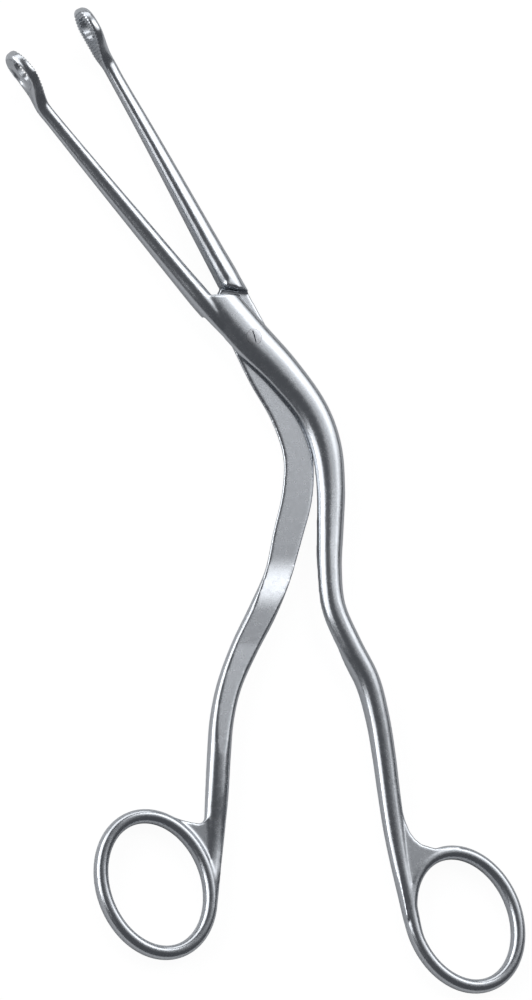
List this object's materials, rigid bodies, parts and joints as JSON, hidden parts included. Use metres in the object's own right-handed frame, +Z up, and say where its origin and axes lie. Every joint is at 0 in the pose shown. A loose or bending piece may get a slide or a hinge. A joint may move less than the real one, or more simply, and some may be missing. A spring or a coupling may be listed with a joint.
{
  "type": "catheter forceps",
  "caption": "Angled steel forceps with two crossing arms, finger rings and serrated oval loops at the tips, lying on its back.",
  "frame": {"origin": "on the axis of the joint screw, in the plane of the screwdriver slot's mouth, which is the plane the forceps rests on", "axes": "+Y from the finger rings towards the jaws, +X to the side the front arm's ring is on, +Z up along the joint screw"},
  "size_m": [0.1244, 0.2388, 0.0093],
  "materials": {
    "arm_steel": "satin polished stainless steel",
    "screw_steel": "fine turned stainless steel"
  },
  "bodies": {
    "back_body": {"back_arm": "arm_steel"},
    "front_body": {"front_arm": "arm_steel", "joint_screw": "screw_steel"}
  },
  "joints": [
    {"name": "jaw_hinge", "type": "hinge", "parent": "back_body", "child": "front_body", "pos_m": [0, 0, 0], "axis": [0, 0, 1], "range_deg": [-11.8, 18]}
  ]
}
